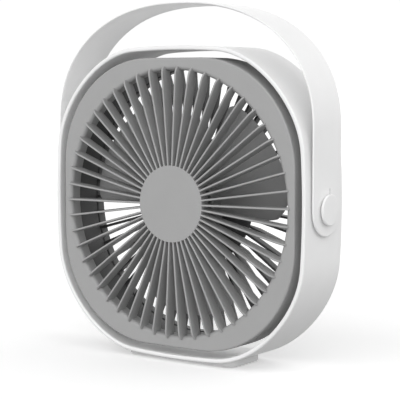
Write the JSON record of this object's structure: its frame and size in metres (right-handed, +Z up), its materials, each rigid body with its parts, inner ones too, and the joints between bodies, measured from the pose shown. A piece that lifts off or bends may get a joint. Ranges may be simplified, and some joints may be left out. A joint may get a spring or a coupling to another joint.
{
  "type": "desk fan",
  "caption": "Compact desk fan: a grey round-grilled head hung in a white rounded-square sleeve, with a strap handle that swings over the top.",
  "frame": {"origin": "on the floor under the middle of the sleeve; the proud grille puts the middle of the overall box 1.2 mm in front of it", "axes": "+X to the fan's right as its front is faced, +Y to its back, +Z up"},
  "size_m": [0.165, 0.038, 0.1839],
  "materials": {
    "white_plastic": "fine satin",
    "grey_plastic": "fine satin",
    "dark_plastic": "matte",
    "blade_plastic": "satin",
    "rubber": "matte",
    "steel": "plain",
    "bronze": "sintered",
    "nylon": "natural",
    "circuit_board": "lacquered",
    "magnet": "ground",
    "copper": "enamelled winding",
    "lens": "translucent",
    "wire_cover": "matte"
  },
  "bodies": {
    "sleeve": {"outer_frame": "white_plastic", "base_foot": "white_plastic", "foot_pad_left": "rubber", "foot_pad_right": "rubber", "pivot_bush_left": "nylon", "pivot_bush_right": "nylon"},
    "head": {"front_shell": "grey_plastic", "front_grille": "grey_plastic", "hub_cap": "grey_plastic", "rear_housing": "dark_plastic", "rear_guard": "dark_plastic", "motor_stator": "copper", "motor_board": "circuit_board", "bearing_front": "bronze", "bearing_rear": "bronze", "control_board": "circuit_board", "usb_socket": "steel", "button_switch": "dark_plastic", "status_lens": "lens", "motor_lead": "wire_cover", "housing_screw_1": "steel", "housing_screw_2": "steel", "housing_screw_3": "steel", "housing_screw_4": "steel", "trunnion_left": "steel", "trunnion_right": "steel", "pivot_screw_left": "steel", "pivot_screw_right": "steel", "friction_washer_left": "nylon", "friction_washer_right": "nylon"},
    "rotor": {"impeller": "blade_plastic", "rotor_can": "steel", "magnet_ring": "magnet", "rotor_shaft": "steel", "shaft_clip": "steel"},
    "handle": {"handle_strap": "white_plastic", "knob_cap_left": "white_plastic", "knob_cap_right": "white_plastic"},
    "button": {"speed_button": "grey_plastic"}
  },
  "joints": [
    {"name": "head_tilt", "type": "hinge", "parent": "sleeve", "child": "head", "pos_m": [0, 0, 0.0818], "axis": [1, 0, 0], "range_deg": [-45, 45]},
    {"name": "handle_swing", "type": "hinge", "parent": "sleeve", "child": "handle", "pos_m": [0, 0, 0.0818], "axis": [1, 0, 0], "range_deg": [-130, 130]},
    {"name": "rotor_spin", "type": "hinge", "parent": "head", "child": "rotor", "pos_m": [0, 0, 0.0818], "axis": [0, 1, 0], "continuous": true},
    {"name": "button_press", "type": "slide", "parent": "head", "child": "button", "axis": [0, -1, 0], "range_m": [0, 0.0005], "stiffness_N_per_m": 400}
  ]
}
